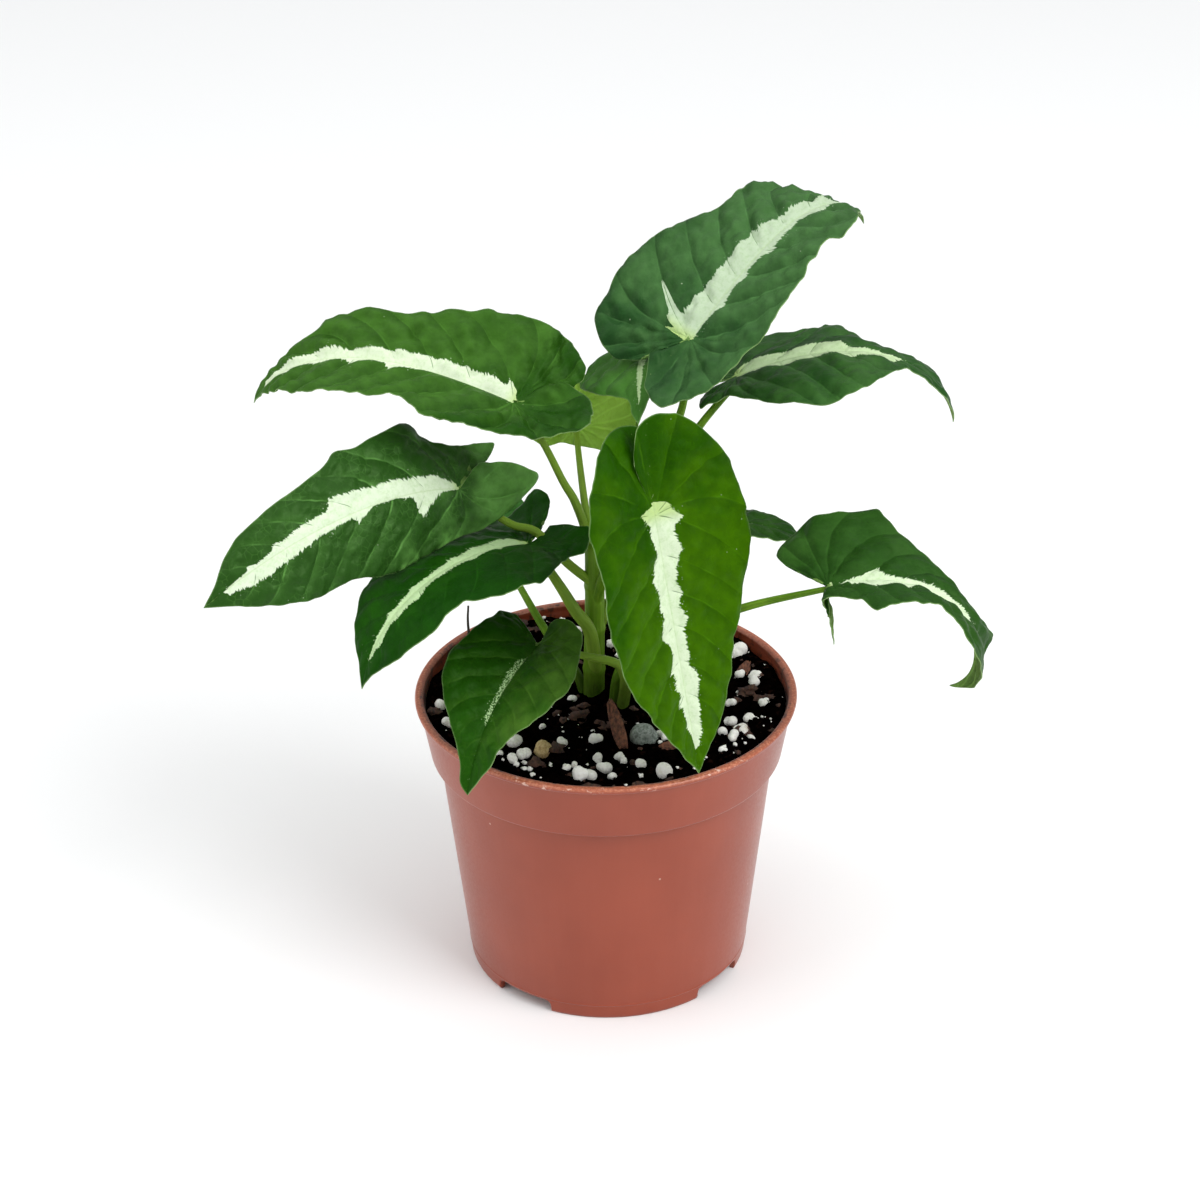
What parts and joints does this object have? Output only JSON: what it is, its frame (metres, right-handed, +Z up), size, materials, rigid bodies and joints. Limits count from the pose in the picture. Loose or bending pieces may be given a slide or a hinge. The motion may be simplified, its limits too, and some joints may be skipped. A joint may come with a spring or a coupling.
{
  "type": "potted syngonium wendlandii",
  "caption": "Young arrowhead vine with arrow-shaped velvety leaves and a pale midrib stripe, in a round terracotta-coloured nursery pot filled with a dark mix.",
  "frame": {"origin": "centre of the pot's base, on the floor that it stands on, which is also the bottom centre of the bounding box", "axes": "+Z up along the pot's axis, -Y towards the pictured front, +X to the viewer's right"},
  "size_m": [0.2301, 0.1332, 0.242],
  "materials": {
    "pot": "injection-moulded terracotta-coloured plastic, satin",
    "potting_mix": "dark fibrous peat and bark mix, dull",
    "stem": "smooth living olive-green stem, satin",
    "leaf": "velvety dark green blade with a silvery-white midrib stripe",
    "leaf_bright": "younger bright green blade with a silvery-white midrib stripe",
    "leaf_pale": "pale green blade, its underside towards the front",
    "perlite": "porous white expanded grains, dull",
    "tan_stone": "rough tan mineral grain",
    "grey_lump": "rough grey crumbly lump",
    "bark": "split brown bark",
    "dry_stalk": "withered brown stalk"
  },
  "bodies": {
    "root": {"pot": "pot", "soil": "potting_mix", "stem_and_stalks": "stem", "leaf_upper_left": "leaf", "leaf_mid_left": "leaf", "leaf_low_left": "leaf", "leaf_small_front": "leaf", "leaf_front": "leaf_bright", "leaf_top": "leaf", "leaf_right": "leaf", "leaf_low_right": "leaf", "leaf_centre_back": "leaf", "leaf_pale_back": "leaf_pale", "leaf_hidden_left": "leaf", "leaf_behind_front": "leaf", "stone_tan": "tan_stone", "lump_grey": "grey_lump", "dry_stalk": "dry_stalk", "perlite_01": "perlite", "perlite_02": "perlite", "perlite_03": "perlite", "perlite_04": "perlite", "perlite_05": "perlite", "perlite_06": "perlite", "perlite_07": "perlite", "perlite_08": "perlite", "perlite_09": "perlite", "perlite_10": "perlite", "perlite_11": "perlite", "perlite_12": "perlite", "perlite_13": "perlite", "perlite_14": "perlite", "perlite_15": "perlite", "perlite_16": "perlite", "bark_01": "bark", "bark_02": "bark", "bark_03": "bark", "bark_04": "bark", "bark_05": "bark"}
  },
  "joints": []
}
